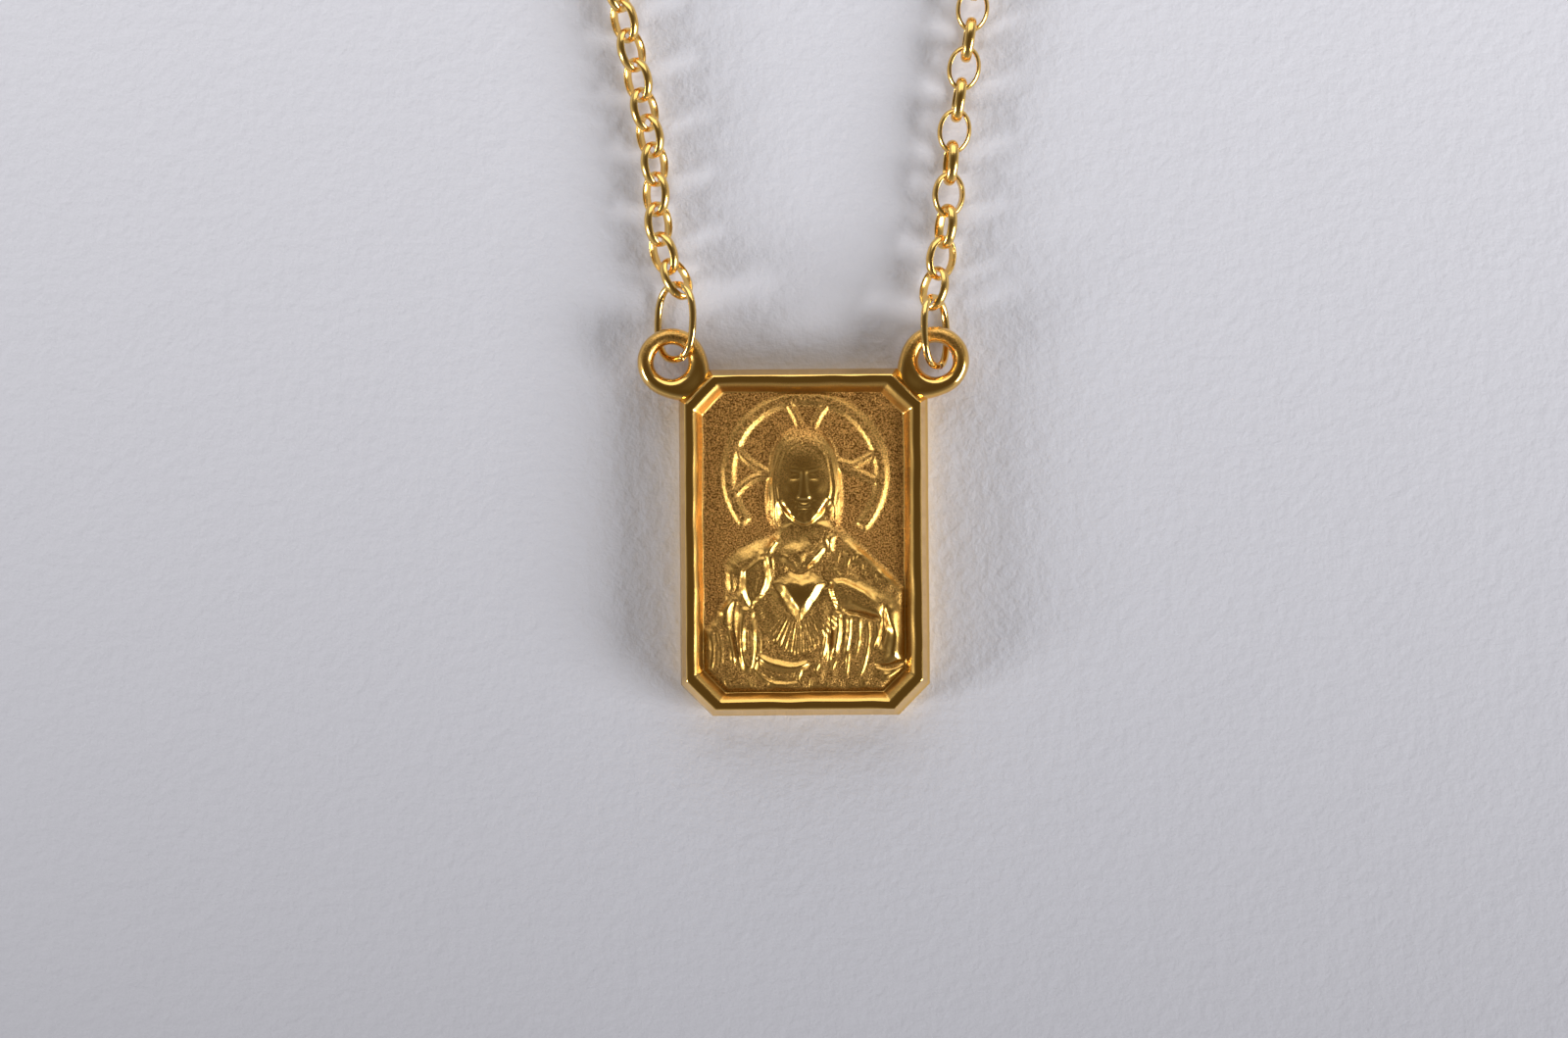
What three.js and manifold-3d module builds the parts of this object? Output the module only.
// A gilt two-lugged medal lying face up on its own belcher chain, in millimetres.
// The origin is the centre of the medal's flat back: +X right, +Y towards the chain, +Z out of the face.
import * as THREE from "three";
import { mergeVertices } from "three/addons/utils/BufferGeometryUtils.js";
import Module from "manifold-3d";

const wasm = await Module();
wasm.setup();

// The medal's casting: a rectangle with cut corners, widest at the parting line half-way up.
const MEDAL_WIDTH = 13.2;
const MEDAL_HEIGHT = 18.4;
const MEDAL_THICKNESS = 2.5;
const CORNER_CUT = 1.65;
const FIELD_CORNER_CUT = 1.15;
const SIDE_DRAFT = 0.33;
const EDGE_ROUND = 0.1;
const RIM_WIDTH = 0.45;
const RIM_SLOPE = 0.54;
const FIELD_DEPTH = 0.62;
const RIM_FOOT = 0.6;
const RIM_FOOT_RISE = 0.3;

// The ring lugs on its upper corners.
const LUG_DIAMETER = 3.64;
const LUG_HOLE = 1.9;
const LUG_THICKNESS = 1.2;
const LUG_SINK = 0.11;
const LUG_NECK = 2.2;
const LUG_NECK_THICKNESS = 0.84;

// The oval jump rings, of round wire.
const RING_WIRE = 0.39;
const RING_FULLNESS = 2.4;

// The belcher links, of half-round wire: the wall is radial, the band lies along the link's axis.
const LINK_LENGTH = 2.45;
const LINK_WIDTH = 1.8;
const LINK_WALL = 0.23;
const LINK_BAND = 0.54;
const LINK_SLACK = 0.2;

// The plain clasp: a ring with an eye on either side.
const CLASP_RING = 5.6;
const CLASP_WIRE = 1.1;
const EYE_RING = 1.7;
const EYE_WIRE = 0.5;
const TUBE_GAP = 0.3;
const REST_CLEARANCE = 0.02;

// The chain's loop past its visible ends: its widest, and how far its top is above the medal's centre.
const LOOP_WIDTH = 104;
const LOOP_TOP = 163;

// How finely the solids are faceted.
const FIELD_COLUMNS = 40;
const FIELD_ROWS = 58;
const CUT_ROWS = 4;
const LUG_SIDES = 24;
const LUG_SECTION_SIDES = 8;
const RING_SIDES = 16;
const CLASP_SIDES = 18;
const WIRE_SIDES = 6;
const LINK_SIDES = 12;
const CHAIN_SIDES = 8;
const CHAIN_STEP = 5.2;

const GOLD = new THREE.Color(0.83, 0.6, 0.24);
const polishedGold = () => new THREE.MeshStandardMaterial({ color: GOLD, metalness: 1, roughness: 0.18 });
const castGold = () => new THREE.MeshStandardMaterial({ color: GOLD, metalness: 1, roughness: 0.42 });

const PARTING_HEIGHT = MEDAL_THICKNESS / 2;
const FIELD_INSET = SIDE_DRAFT + RIM_WIDTH + RIM_SLOPE;
const FIELD_LEVEL = MEDAL_THICKNESS - FIELD_DEPTH;
const FIELD_WIDTH = MEDAL_WIDTH - 2 * FIELD_INSET;
const FIELD_HEIGHT = MEDAL_HEIGHT - 2 * FIELD_INSET;
const CHAIN_HEIGHT = LINK_WIDTH / 2 + REST_CLEARANCE;
const EYE_PLACE = (CLASP_RING + EYE_RING - EYE_WIRE) / 2;

const smooth = (share) => {
  const t = THREE.MathUtils.clamp(share, 0, 1);
  return t * t * (3 - 2 * t);
};

// Relief of the field. Places are [x, y] shares of the field's width and height from its centre,
// reach is a share of the field's width and rise a share of the field's depth.
// A dome rises over an ellipse, a ridge along a line, a plate inside an outline; "add" stacks it on the rest.
const RELIEF = [
  {
    form: "arc", name: "halo", reach: 0.036, rise: 0.24,
    centre: [0, 0.226], radius: 0.389, from: -47, to: 222,
  },
  { form: "ridge", name: "halo ray", reach: 0.024, rise: 0.26, line: [[-0.02, 0.385], [-0.089, 0.455]] },
  { form: "ridge", name: "halo ray", reach: 0.024, rise: 0.26, line: [[0.043, 0.385], [0.118, 0.454]] },
  {
    form: "ridge", name: "halo ray", reach: 0.024, rise: 0.26,
    line: [[-0.18, 0.238], [-0.27, 0.262], [-0.332, 0.312]],
  },
  {
    form: "ridge", name: "halo ray", reach: 0.024, rise: 0.26,
    line: [[-0.19, 0.222], [-0.27, 0.2], [-0.338, 0.162]],
  },
  {
    form: "ridge", name: "halo ray", reach: 0.024, rise: 0.26,
    line: [[0.175, 0.27], [0.244, 0.257], [0.333, 0.293]],
  },
  {
    form: "ridge", name: "halo ray", reach: 0.024, rise: 0.26,
    line: [[0.2, 0.247], [0.248, 0.231], [0.346, 0.207]],
  },
  {
    form: "plate", name: "robe", reach: 0.07, rise: 0.42,
    line: [[-0.14, 0.06], [-0.23, 0.01], [-0.385, -0.06], [-0.38, -0.14], [-0.42, -0.23], [-0.52, -0.29],
      [-0.52, -0.42], [-0.4, -0.49], [0.4, -0.49], [0.52, -0.42], [0.52, -0.17], [0.46, -0.126],
      [0.39, -0.07], [0.29, 0], [0.15, 0.05]],
  },
  { form: "dome", name: "chest", centre: [-0.02, -0.14], half: [0.36, 0.2], rise: 0.78 },
  { form: "dome", name: "neck", centre: [0, 0.03], half: [0.14, 0.09], rise: 0.66 },
  { form: "dome", name: "left shoulder", centre: [-0.24, -0.08], half: [0.16, 0.11], rise: 0.72 },
  { form: "dome", name: "right shoulder", centre: [0.27, -0.11], half: [0.2, 0.12], rise: 0.7 },
  {
    form: "ridge", name: "mantle edge", reach: 0.035, rise: 0.66,
    line: [[0.185, 0.025], [0.295, -0.01], [0.392, -0.08], [0.46, -0.132], [0.49, -0.178]],
  },
  {
    form: "ridge", name: "right sleeve", reach: 0.085, rise: 0.86,
    line: [[0.41, -0.19], [0.45, -0.27], [0.45, -0.35]],
  },
  {
    form: "ridge", name: "sleeve hem", reach: 0.06, rise: 0.6,
    line: [[0.33, -0.41], [0.42, -0.42], [0.47, -0.43]],
  },
  {
    form: "plate", name: "right hand", reach: 0.04, rise: 0.95,
    line: [[0.13, -0.1], [0.26, -0.105], [0.34, -0.16], [0.37, -0.25], [0.3, -0.23], [0.2, -0.17],
      [0.15, -0.17]],
  },
  {
    form: "plate", name: "left hand", reach: 0.04, rise: 0.92,
    line: [[-0.33, -0.1], [-0.2, -0.085], [-0.19, -0.15], [-0.27, -0.23], [-0.32, -0.2]],
  },
  {
    form: "ridge", name: "left sleeve edge", reach: 0.024, rise: 0.74,
    line: [[-0.33, -0.23], [-0.335, -0.33], [-0.32, -0.4], [-0.285, -0.4], [-0.27, -0.33], [-0.275, -0.235]],
  },
  {
    form: "ridge", name: "left fold", reach: 0.03, rise: 0.6,
    line: [[-0.49, -0.3], [-0.458, -0.355], [-0.48, -0.44]],
  },
  { form: "ridge", name: "left fold", reach: 0.026, rise: 0.58, line: [[-0.4, -0.3], [-0.385, -0.38]] },
  { form: "ridge", name: "right fold", reach: 0.034, rise: 0.78, line: [[0.165, -0.215], [0.15, -0.35]] },
  { form: "ridge", name: "right fold", reach: 0.026, rise: 0.74, line: [[0.243, -0.24], [0.207, -0.37]] },
  {
    form: "ridge", name: "right fold", reach: 0.026, rise: 0.74,
    line: [[0.292, -0.25], [0.29, -0.36], [0.268, -0.426]],
  },
  {
    form: "ridge", name: "sash", reach: 0.036, rise: 0.66,
    line: [[-0.245, -0.375], [-0.13, -0.408], [-0.02, -0.402]],
  },
  {
    form: "ridge", name: "collar drape", reach: 0.035, rise: 0.86,
    line: [[-0.12, -0.03], [-0.1, -0.045], [-0.04, -0.1], [0.04, -0.068], [0.07, -0.05]],
  },
  {
    form: "plate", name: "heart", reach: 0.05, rise: 1,
    line: [[-0.155, -0.115], [-0.1, -0.1], [-0.04, -0.115], [0.03, -0.1], [0.09, -0.115], [0.07, -0.16],
      [-0.028, -0.25], [-0.125, -0.165]],
  },
  {
    form: "ridge", name: "left hair", reach: 0.06, rise: 0.8,
    line: [[-0.03, 0.372], [-0.12, 0.335], [-0.165, 0.25], [-0.175, 0.14], [-0.165, 0.045]],
  },
  {
    form: "ridge", name: "right hair", reach: 0.06, rise: 0.8,
    line: [[0.03, 0.372], [0.115, 0.335], [0.155, 0.25], [0.165, 0.14], [0.155, 0.045]],
  },
  { form: "dome", name: "head", centre: [-0.005, 0.205], half: [0.15, 0.175], rise: 0.96 },
  {
    form: "ridge", name: "brow", reach: 0.024, rise: 0.08, add: true,
    line: [[-0.085, 0.238], [-0.005, 0.245], [0.075, 0.238]],
  },
  { form: "ridge", name: "nose", reach: 0.026, rise: 0.14, add: true, line: [[-0.005, 0.24], [-0.005, 0.165]] },
  { form: "dome", name: "beard", centre: [-0.005, 0.095], half: [0.105, 0.06], rise: 0.98 },
];
const HEART_RAYS = {
  centre: [-0.033, -0.222], count: 17, from: 176, to: 364,
  inner: 0.09, outer: 0.222, reach: 0.016, rise: 0.94,
};

for (const form of RELIEF) {
  if (form.form === "arc") {
    form.centreAt = [form.centre[0] * FIELD_WIDTH, form.centre[1] * FIELD_HEIGHT];
  } else if (form.form === "dome") {
    form.centreAt = [form.centre[0] * FIELD_WIDTH, form.centre[1] * FIELD_HEIGHT];
    form.halfSize = [form.half[0] * FIELD_WIDTH, form.half[1] * FIELD_HEIGHT];
  } else {
    form.points = form.line.map(([x, y]) => [x * FIELD_WIDTH, y * FIELD_HEIGHT]);
  }
}

// How far (x, y) lies from the line through the points.
function lineDistance(points, x, y, closed) {
  let nearest = Infinity;
  for (let i = closed ? 0 : 1; i < points.length; i++) {
    const [ax, ay] = points[(i + points.length - 1) % points.length];
    const [bx, by] = points[i];
    const length2 = (bx - ax) ** 2 + (by - ay) ** 2;
    const t = THREE.MathUtils.clamp(((x - ax) * (bx - ax) + (y - ay) * (by - ay)) / length2, 0, 1);
    nearest = Math.min(nearest, Math.hypot(x - ax - t * (bx - ax), y - ay - t * (by - ay)));
  }
  return nearest;
}

function isInside(points, x, y) {
  let inside = false;
  points.forEach(([ax, ay], i) => {
    const [bx, by] = points[(i + 1) % points.length];
    if (ay > y !== by > y && x < ax + ((y - ay) * (bx - ax)) / (by - ay)) inside = !inside;
  });
  return inside;
}

// The direction of (dx, dy) in degrees anticlockwise from a starting direction.
const turnFrom = (start, dx, dy) =>
  THREE.MathUtils.euclideanModulo(THREE.MathUtils.radToDeg(Math.atan2(dy, dx)) - start, 360);

// The rise of one form over the field at (x, y), as a share of the field's depth.
function formRise(form, x, y) {
  const reach = form.reach * FIELD_WIDTH;
  if (form.form === "dome") {
    const [cx, cy] = form.centreAt;
    const [hx, hy] = form.halfSize;
    return form.rise * Math.sqrt(Math.max(0, 1 - ((x - cx) / hx) ** 2 - ((y - cy) / hy) ** 2));
  }
  if (form.form === "arc") {
    const [cx, cy] = form.centreAt;
    const degrees = turnFrom(form.from, x - cx, y - cy);
    const offBand = Math.abs(Math.hypot(x - cx, y - cy) - form.radius * FIELD_WIDTH);
    return degrees <= form.to - form.from ? form.rise * smooth((2 * (reach - offBand)) / reach) : 0;
  }
  const distance = lineDistance(form.points, x, y, form.form === "plate");
  if (form.form === "plate") return isInside(form.points, x, y) ? form.rise * smooth(distance / reach) : 0;
  return form.rise * Math.sqrt(Math.max(0, 1 - (distance / reach) ** 2));
}

// The fan of fine rays round the heart.
function rayRise(x, y) {
  const dx = x - HEART_RAYS.centre[0] * FIELD_WIDTH;
  const dy = y - HEART_RAYS.centre[1] * FIELD_HEIGHT;
  const radius = Math.hypot(dx, dy) / FIELD_WIDTH;
  if (radius < HEART_RAYS.inner || radius > HEART_RAYS.outer) return 0;
  const span = HEART_RAYS.to - HEART_RAYS.from;
  const turn = turnFrom(HEART_RAYS.from, dx, dy);
  if (turn > span) return 0;
  const gaps = HEART_RAYS.count - 1;
  const nthRay = (turn / span) * gaps;
  const offRay = Math.abs(nthRay - Math.round(nthRay));
  const across = (offRay * THREE.MathUtils.degToRad(span) * radius) / gaps;
  return HEART_RAYS.rise * smooth(1 - across / HEART_RAYS.reach / 2);
}

function reliefRise(x, y) {
  let rise = 0;
  for (const form of RELIEF) {
    const own = formRise(form, x, y);
    rise = form.add ? rise + own : Math.max(rise, own);
  }
  return Math.max(rise, rayRise(x, y));
}

// The height of the relief over the field: its rise averaged over a facet, lower towards the rim's foot.
function reliefHeight(x, y) {
  let rise = 0;
  const steps = [-1 / 3, 0, 1 / 3];
  const [facetWidth, facetHeight] = [FIELD_WIDTH / FIELD_COLUMNS, FIELD_HEIGHT / FIELD_ROWS];
  for (const across of steps) {
    for (const up of steps) {
      rise += reliefRise(x + across * facetWidth, y + up * facetHeight) / steps.length ** 2;
    }
  }
  const [toSide, toEnd] = [FIELD_WIDTH / 2 - Math.abs(x), FIELD_HEIGHT / 2 - Math.abs(y)];
  const toRim = Math.min(toSide, toEnd, (toSide + toEnd - FIELD_CORNER_CUT) * Math.SQRT1_2);
  return FIELD_DEPTH * Math.min(1, rise) * smooth(RIM_FOOT_RISE + toRim / RIM_FOOT);
}

// The medal's outline at one height: half sizes and corner cut, for an inset from the widest line.
function contour(inset, z) {
  const share = inset / FIELD_INSET;
  return {
    z,
    halfX: MEDAL_WIDTH / 2 - inset,
    halfY: MEDAL_HEIGHT / 2 - inset,
    cut: THREE.MathUtils.lerp(CORNER_CUT, FIELD_CORNER_CUT, share),
  };
}

// A point of the grid that fills a contour: its rows crowd into the corner cuts, where its columns narrow.
function gridPoint(shape, column, row) {
  const straightRows = FIELD_ROWS - 2 * CUT_ROWS;
  const fromEnd = Math.min(row, FIELD_ROWS - row);
  const up = Math.sign(row - FIELD_ROWS / 2);
  const straight = shape.halfY - shape.cut;
  const y =
    fromEnd < CUT_ROWS
      ? up * (shape.halfY - (shape.cut * fromEnd) / CUT_ROWS)
      : straight * ((2 * (row - CUT_ROWS)) / straightRows - 1);
  const halfWidth = shape.halfX - Math.max(0, Math.abs(y) - straight);
  return [halfWidth * ((2 * column) / FIELD_COLUMNS - 1), y, shape.z];
}

// The grid's edge, anticlockwise from its lower left corner, as [column, row].
function gridEdge() {
  const edge = [];
  for (let i = 0; i < FIELD_COLUMNS; i++) edge.push([i, 0]);
  for (let j = 0; j < FIELD_ROWS; j++) edge.push([FIELD_COLUMNS, j]);
  for (let i = FIELD_COLUMNS; i > 0; i--) edge.push([i, FIELD_ROWS]);
  for (let j = FIELD_ROWS; j > 0; j--) edge.push([0, j]);
  return edge;
}

function geometryOf(points, triangles) {
  const geometry = new THREE.BufferGeometry();
  geometry.setAttribute("position", new THREE.Float32BufferAttribute(points.flat(), 3));
  geometry.setIndex(triangles.flat());
  return geometry;
}

// The casting without its lugs: the relief's grid, each cell split along its more level diagonal,
// then bands from contour to contour down to the back's centre.
function medalBody() {
  const points = [];
  const triangles = [];
  const field = contour(FIELD_INSET, FIELD_LEVEL);
  for (let row = 0; row <= FIELD_ROWS; row++) {
    for (let column = 0; column <= FIELD_COLUMNS; column++) {
      const [x, y, z] = gridPoint(field, column, row);
      points.push([x, y, z + reliefHeight(x, y)]);
    }
  }
  const at = (column, row) => row * (FIELD_COLUMNS + 1) + column;
  for (let row = 0; row < FIELD_ROWS; row++) {
    for (let column = 0; column < FIELD_COLUMNS; column++) {
      const [a, b] = [at(column, row), at(column + 1, row)];
      const [d, c] = [at(column, row + 1), at(column + 1, row + 1)];
      const drop = (one, other) => Math.abs(points[one][2] - points[other][2]);
      if (drop(a, c) < drop(b, d)) triangles.push([a, b, c], [a, c, d]);
      else triangles.push([a, b, d], [b, c, d]);
    }
  }
  const edge = gridEdge();
  const bands = [
    contour(SIDE_DRAFT + RIM_WIDTH, MEDAL_THICKNESS),
    contour(SIDE_DRAFT + EDGE_ROUND, MEDAL_THICKNESS),
    contour(SIDE_DRAFT, MEDAL_THICKNESS - EDGE_ROUND),
    contour(0, PARTING_HEIGHT),
    contour(SIDE_DRAFT, EDGE_ROUND),
    contour(SIDE_DRAFT + EDGE_ROUND, 0),
  ];
  let inner = edge.map(([column, row]) => at(column, row));
  for (const shape of bands) {
    const outer = edge.map(([column, row]) => points.push(gridPoint(shape, column, row)) - 1);
    edge.forEach((_, i) => {
      const next = (i + 1) % edge.length;
      triangles.push([inner[i], outer[i], outer[next]], [inner[i], outer[next], inner[next]]);
    });
    inner = outer;
  }
  const centre = points.push([0, 0, 0]) - 1;
  edge.forEach((_, i) => triangles.push([inner[i], centre, inner[(i + 1) % edge.length]]));
  return geometryOf(points, triangles);
}

const solidFrom = (geometry) => {
  const bare = geometry.clone();
  for (const name of Object.keys(bare.attributes)) if (name !== "position") bare.deleteAttribute(name);
  const merged = mergeVertices(bare, 1e-4);
  return new wasm.Manifold(
    new wasm.Mesh({
      numProp: 3,
      vertProperties: new Float32Array(merged.attributes.position.array),
      triVerts: new Uint32Array(merged.index.array),
    }),
  );
};

const geometryFrom = (solid) => {
  const { vertProperties, triVerts } = solid.getMesh();
  const geometry = new THREE.BufferGeometry();
  geometry.setAttribute("position", new THREE.BufferAttribute(vertProperties, 3));
  geometry.setIndex(new THREE.BufferAttribute(triVerts, 1));
  return geometry;
};

// A lug's ring: a flattened round section turned about the hole.
function lugRing() {
  const crest = (LUG_DIAMETER + LUG_HOLE) / 4;
  const halfWidth = (LUG_DIAMETER - LUG_HOLE) / 4;
  const section = [];
  const halfStep = Math.PI / LUG_SECTION_SIDES;
  for (let i = 0; i <= LUG_SECTION_SIDES; i++) {
    const turn = (2 * i + 1) * halfStep;
    const outward = (halfWidth * Math.cos(turn)) / Math.cos(halfStep);
    const up = ((LUG_THICKNESS / 2) * Math.sin(turn)) / Math.cos(halfStep);
    section.push(new THREE.Vector2(crest + outward, up));
  }
  return new THREE.LatheGeometry(section, LUG_SIDES).rotateX(Math.PI / 2);
}

// The lugs sit on the corner cuts, sunk a little into them, with a short neck that joins them to the body.
const cutMiddle = [(MEDAL_WIDTH - CORNER_CUT) / 2, (MEDAL_HEIGHT - CORNER_CUT) / 2];
const lugReach = (LUG_DIAMETER / 2 - LUG_SINK) * Math.SQRT1_2;
const lugAt = (side) =>
  new THREE.Vector3(side * (cutMiddle[0] + lugReach), cutMiddle[1] + lugReach, PARTING_HEIGHT);

function lugNeck(side) {
  const lug = lugAt(side);
  const wall = (LUG_DIAMETER - LUG_HOLE) / 2;
  const near = LUG_HOLE / 2 + wall / 2;
  const far = LUG_DIAMETER / 2 + SIDE_DRAFT + wall / 2;
  return new THREE.BoxGeometry(LUG_NECK, far - near, LUG_NECK_THICKNESS)
    .translate(0, -(near + far) / 2, 0)
    .rotateZ((-side * Math.PI) / 4)
    .translate(lug.x, lug.y, lug.z);
}

function medalGeometry() {
  let solid = solidFrom(medalBody());
  for (const side of [-1, 1]) {
    const lug = lugAt(side);
    solid = solid.add(solidFrom(lugRing().translate(lug.x, lug.y, lug.z))).add(solidFrom(lugNeck(side)));
  }
  return geometryFrom(solid);
}

// A closed oval ring in its own XY plane, long along Y: the section's [outward, sideways] points all round.
// A fullness of 2 is an ellipse, and more than 2 fills its corners out.
function ovalRing(halfWidth, halfLength, section, steps, fullness) {
  const points = [];
  const triangles = [];
  const bulge = (value, power) => Math.sign(value) * Math.abs(value) ** power;
  for (let i = 0; i < steps; i++) {
    const turn = (2 * Math.PI * i) / steps;
    const [across, up] = [Math.cos(turn), Math.sin(turn)];
    const outward = new THREE.Vector2(
      bulge(across, 2 - 2 / fullness) / halfWidth,
      bulge(up, 2 - 2 / fullness) / halfLength,
    ).normalize();
    for (const [out, aside] of section) {
      points.push([
        halfWidth * bulge(across, 2 / fullness) + out * outward.x,
        halfLength * bulge(up, 2 / fullness) + out * outward.y,
        aside,
      ]);
    }
  }
  const at = (i, j) => (i % steps) * section.length + (j % section.length);
  for (let i = 0; i < steps; i++) {
    for (let j = 0; j < section.length; j++) {
      const [near, far] = [at(i, j), at(i + 1, j + 1)];
      triangles.push([near, far, at(i + 1, j)], [near, at(i, j + 1), far]);
    }
  }
  return geometryOf(points, triangles);
}

const wireSection = Array.from({ length: WIRE_SIDES }, (_, i) => {
  const turn = (-2 * Math.PI * i) / WIRE_SIDES;
  return [(RING_WIRE / 2) * Math.cos(turn), (RING_WIRE / 2) * Math.sin(turn)];
});

// Half-round: flat inside, rounded outside.
const linkSection = [
  [-LINK_WALL / 2, LINK_BAND / 2],
  [0, LINK_BAND / 2],
  [LINK_WALL / 2, LINK_BAND / 4],
  [LINK_WALL / 2, -LINK_BAND / 4],
  [0, -LINK_BAND / 2],
  [-LINK_WALL / 2, -LINK_BAND / 2],
];

const linkGeometry = () =>
  ovalRing((LINK_WIDTH - LINK_WALL) / 2, (LINK_LENGTH - LINK_WALL) / 2, linkSection, LINK_SIDES, 2);

// Lays a ring or link at a point: its length along the run, its width rolled up out of the surface.
function layAlong(mesh, point, run, rollDegrees) {
  const along = run.clone().normalize();
  const level = new THREE.Vector3(along.y, -along.x, 0).normalize();
  const raised = new THREE.Vector3().crossVectors(level, along);
  const roll = THREE.MathUtils.degToRad(rollDegrees);
  const across = level.multiplyScalar(Math.cos(roll)).addScaledVector(raised, Math.sin(roll));
  const normal = new THREE.Vector3().crossVectors(across, along);
  mesh.position.copy(point);
  mesh.quaternion.setFromRotationMatrix(new THREE.Matrix4().makeBasis(across, along, normal));
  return mesh;
}

// The jump rings as they lie: outer length and width, how high the centre is over the parting line,
// where the lower end's wire sits from the lug's centre, the lean of the length and the roll of the width,
// and the gap between the upper end's wire and the first link's end.
const JUMP_RINGS = {
  left: {
    side: -1, length: 4.36, width: 3.3, lift: 0.04, seat: [0.14, 0.16], turn: 2, lean: 0, roll: 49, gap: 0.48,
  },
  right: {
    side: 1, length: 4.05, width: 3.1, lift: 0.28, seat: [0.06, -0.3], turn: -1, lean: -5, roll: 118, gap: 0.32,
  },
};

function jumpRingPlace({ side, length, lift, seat, turn, lean }) {
  const angle = THREE.MathUtils.degToRad(turn);
  const rise = THREE.MathUtils.degToRad(lean);
  const run = new THREE.Vector3(
    Math.sin(angle) * Math.cos(rise),
    Math.cos(angle) * Math.cos(rise),
    Math.sin(rise),
  );
  const foot = lugAt(side).add(new THREE.Vector3(seat[0], seat[1], lift));
  const centre = foot.clone().addScaledVector(run, (length - RING_WIRE) / 2);
  const top = foot.clone().addScaledVector(run, length - RING_WIRE);
  return { centre, run, top };
}

function jumpRing(name, ring) {
  const { centre, run } = jumpRingPlace(ring);
  const [halfWidth, halfLength] = [(ring.width - RING_WIRE) / 2, (ring.length - RING_WIRE) / 2];
  const geometry = ovalRing(halfWidth, halfLength, wireSection, RING_SIDES, RING_FULLNESS);
  const mesh = new THREE.Mesh(geometry, polishedGold());
  mesh.name = name;
  return layAlong(mesh, centre, run, ring.roll);
}

// The chain's route on the surface from each jump ring to the clasp, as chosen points: the stretch that is
// seen as [x, y], and the loop after it as shares of half the loop's width and of its top.
const CHAIN_ROUTES = {
  left: {
    seen: [[-6.95, 14.1], [-7.4, 15.5], [-7.7, 17.6], [-7.85, 20.4], [-8.35, 23.1], [-9.05, 26.4], [-9.8, 29.4]],
    loop: [
      [-0.242, 0.23], [-0.365, 0.307], [-0.558, 0.393], [-0.76, 0.485], [-0.923, 0.589],
      [-1, 0.699], [-0.962, 0.804], [-0.798, 0.896], [-0.519, 0.963], [-0.231, 0.994],
    ],
  },
  right: {
    seen: [[7.05, 13.5], [7.4, 15.2], [7.7, 17.3], [7.95, 20.4], [8.4, 23.6], [8.95, 26.8], [9.3, 29.4]],
    loop: [
      [0.208, 0.23], [0.308, 0.307], [0.5, 0.393], [0.712, 0.485], [0.894, 0.589],
      [0.99, 0.699], [0.962, 0.804], [0.798, 0.896], [0.519, 0.963], [0.231, 0.994],
    ],
  },
};

// How each visible link lies, from the medal up: its roll out of the surface in degrees,
// and the slack between it and the next, as a share of the usual slack.
const LINKS = {
  left: [
    { roll: -45, slack: 1.8 }, { roll: 45, slack: 1.4 }, { roll: -45, slack: 1.4 }, { roll: 45, slack: 1.4 },
    { roll: -45, slack: 1.8 }, { roll: 45, slack: 2.2 }, { roll: -45, slack: 1.4 }, { roll: 45, slack: 1.2 },
    { roll: -45, slack: 1.4 }, { roll: 45, slack: 1.3 },
  ],
  right: [
    { roll: 46, slack: 1 }, { roll: -36, slack: 0.9 }, { roll: 62, slack: 0.9 }, { roll: -18, slack: 0.9 },
    { roll: 80, slack: 0.9 }, { roll: -4, slack: 1 }, { roll: 86, slack: 0.9 }, { roll: 0, slack: 1.7 },
    { roll: 88, slack: 1.2 }, { roll: 0, slack: 1.2 },
  ],
};

// The distance between two links pulled tight: the band's edges meet the rounded end of the next hole.
const holeRadius = LINK_WIDTH / 2 - LINK_WALL;
const endRise = holeRadius - Math.sqrt(holeRadius ** 2 - (LINK_BAND / 2) ** 2);
const TIGHT_PITCH = LINK_LENGTH - 2 * LINK_WALL - 2 * endRise;

// A stretch of a route by true length, as a curve of its own.
class Stretch extends THREE.Curve {
  constructor(route, from, to) {
    super();
    Object.assign(this, { route, from, to });
  }
  getPoint(share) {
    return this.route.getPointAt(THREE.MathUtils.lerp(this.from, this.to, share) / this.route.getLength());
  }
}

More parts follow.
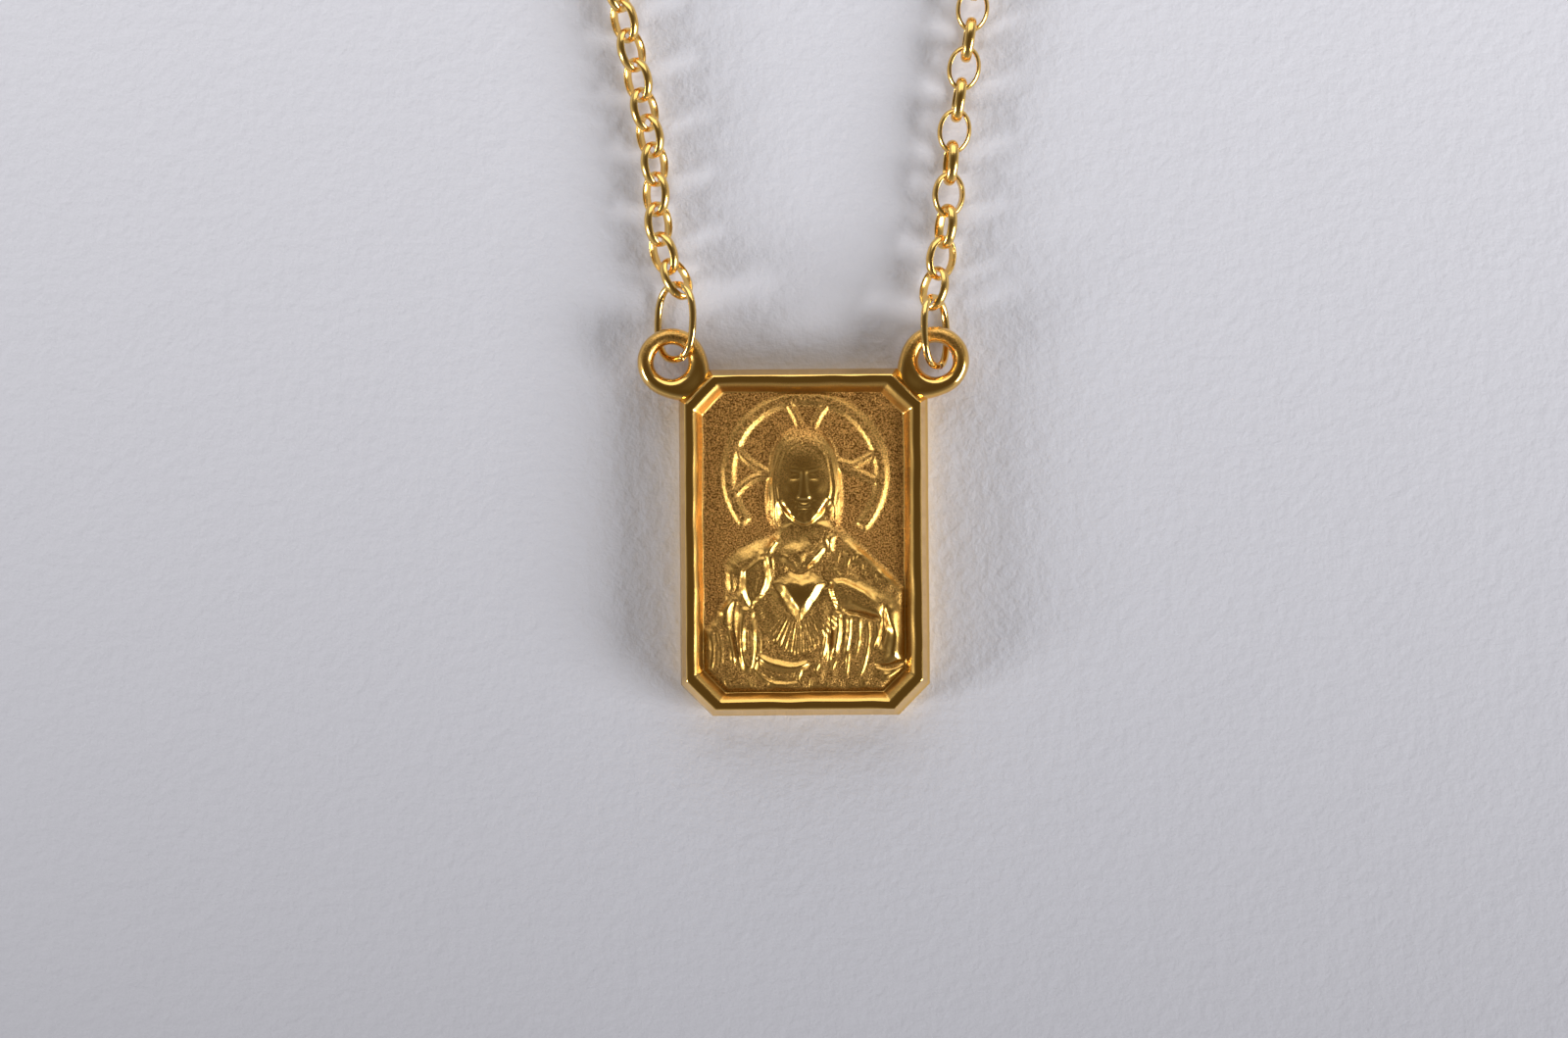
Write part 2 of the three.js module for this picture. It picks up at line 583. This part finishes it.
function chainSide(side) {
  const { seen, loop } = CHAIN_ROUTES[side];
  const end = [JUMP_RINGS[side].side * (EYE_PLACE + EYE_RING / 2 + TUBE_GAP), LOOP_TOP];
  const places = [...seen, ...loop.map(([x, y]) => [(x * LOOP_WIDTH) / 2, y * LOOP_TOP]), end];
  const points = places.map(([x, y]) => new THREE.Vector3(x, y, CHAIN_HEIGHT));
  const { top } = jumpRingPlace(JUMP_RINGS[side]);
  points[0].x = top.x;
  points[0].z = (top.z + CHAIN_HEIGHT) / 2;
  points[0].y = top.y - RING_WIRE / 2 + LINK_LENGTH / 2 - LINK_WALL - JUMP_RINGS[side].gap;
  const route = new THREE.CatmullRomCurve3(points, false, "centripetal");
  route.arcLengthDivisions = 2000;
  const pieces = [];
  let along = 0;
  LINKS[side].forEach(({ roll, slack }, i) => {
    const share = along / route.getLength();
    const link = new THREE.Mesh(linkGeometry(), polishedGold());
    link.name = "chain_link_" + side + "_" + (i + 1);
    pieces.push(layAlong(link, route.getPointAt(share), route.getTangentAt(share), roll));
    along += TIGHT_PITCH - slack * LINK_SLACK;
  });
  const last = along - TIGHT_PITCH + LINKS[side].at(-1).slack * LINK_SLACK;
  const stretch = new Stretch(route, last + LINK_LENGTH / 2 + TUBE_GAP, route.getLength());
  const section = new THREE.Shape();
  for (let i = 0; i < CHAIN_SIDES; i++) {
    const turn = ((i + 0.5) / CHAIN_SIDES) * 2 * Math.PI;
    const radius = LINK_WIDTH / 2 / Math.cos(Math.PI / CHAIN_SIDES);
    section[i ? "lineTo" : "moveTo"](radius * Math.cos(turn), radius * Math.sin(turn));
  }
  const tube = new THREE.Mesh(
    new THREE.ExtrudeGeometry(section, {
      extrudePath: stretch,
      steps: Math.round((stretch.to - stretch.from) / CHAIN_STEP),
      bevelEnabled: false,
    }),
    polishedGold(),
  );
  tube.name = "chain_" + side;
  return [...pieces, tube];
}

// The clasp lies flat on the surface between the chain's two ends.
function clasp() {
  const ring = (diameter, wire, x) => {
    const torus = new THREE.TorusGeometry((diameter - wire) / 2, wire / 2, WIRE_SIDES, CLASP_SIDES);
    return solidFrom(torus.translate(x, 0, 0));
  };
  const solid = ring(CLASP_RING, CLASP_WIRE, 0)
    .add(ring(EYE_RING, EYE_WIRE, -EYE_PLACE))
    .add(ring(EYE_RING, EYE_WIRE, EYE_PLACE));
  const mesh = new THREE.Mesh(geometryFrom(solid), polishedGold());
  mesh.name = "clasp";
  mesh.position.set(0, LOOP_TOP, CLASP_WIRE / 2 + REST_CLEARANCE);
  return mesh;
}

const medal = new THREE.Mesh(medalGeometry(), castGold());
medal.name = "medal";

const pendant = new THREE.Group();
pendant.add(
  medal,
  jumpRing("jump_ring_left", JUMP_RINGS.left),
  jumpRing("jump_ring_right", JUMP_RINGS.right),
  ...chainSide("left"),
  ...chainSide("right"),
  clasp(),
);

export default pendant;
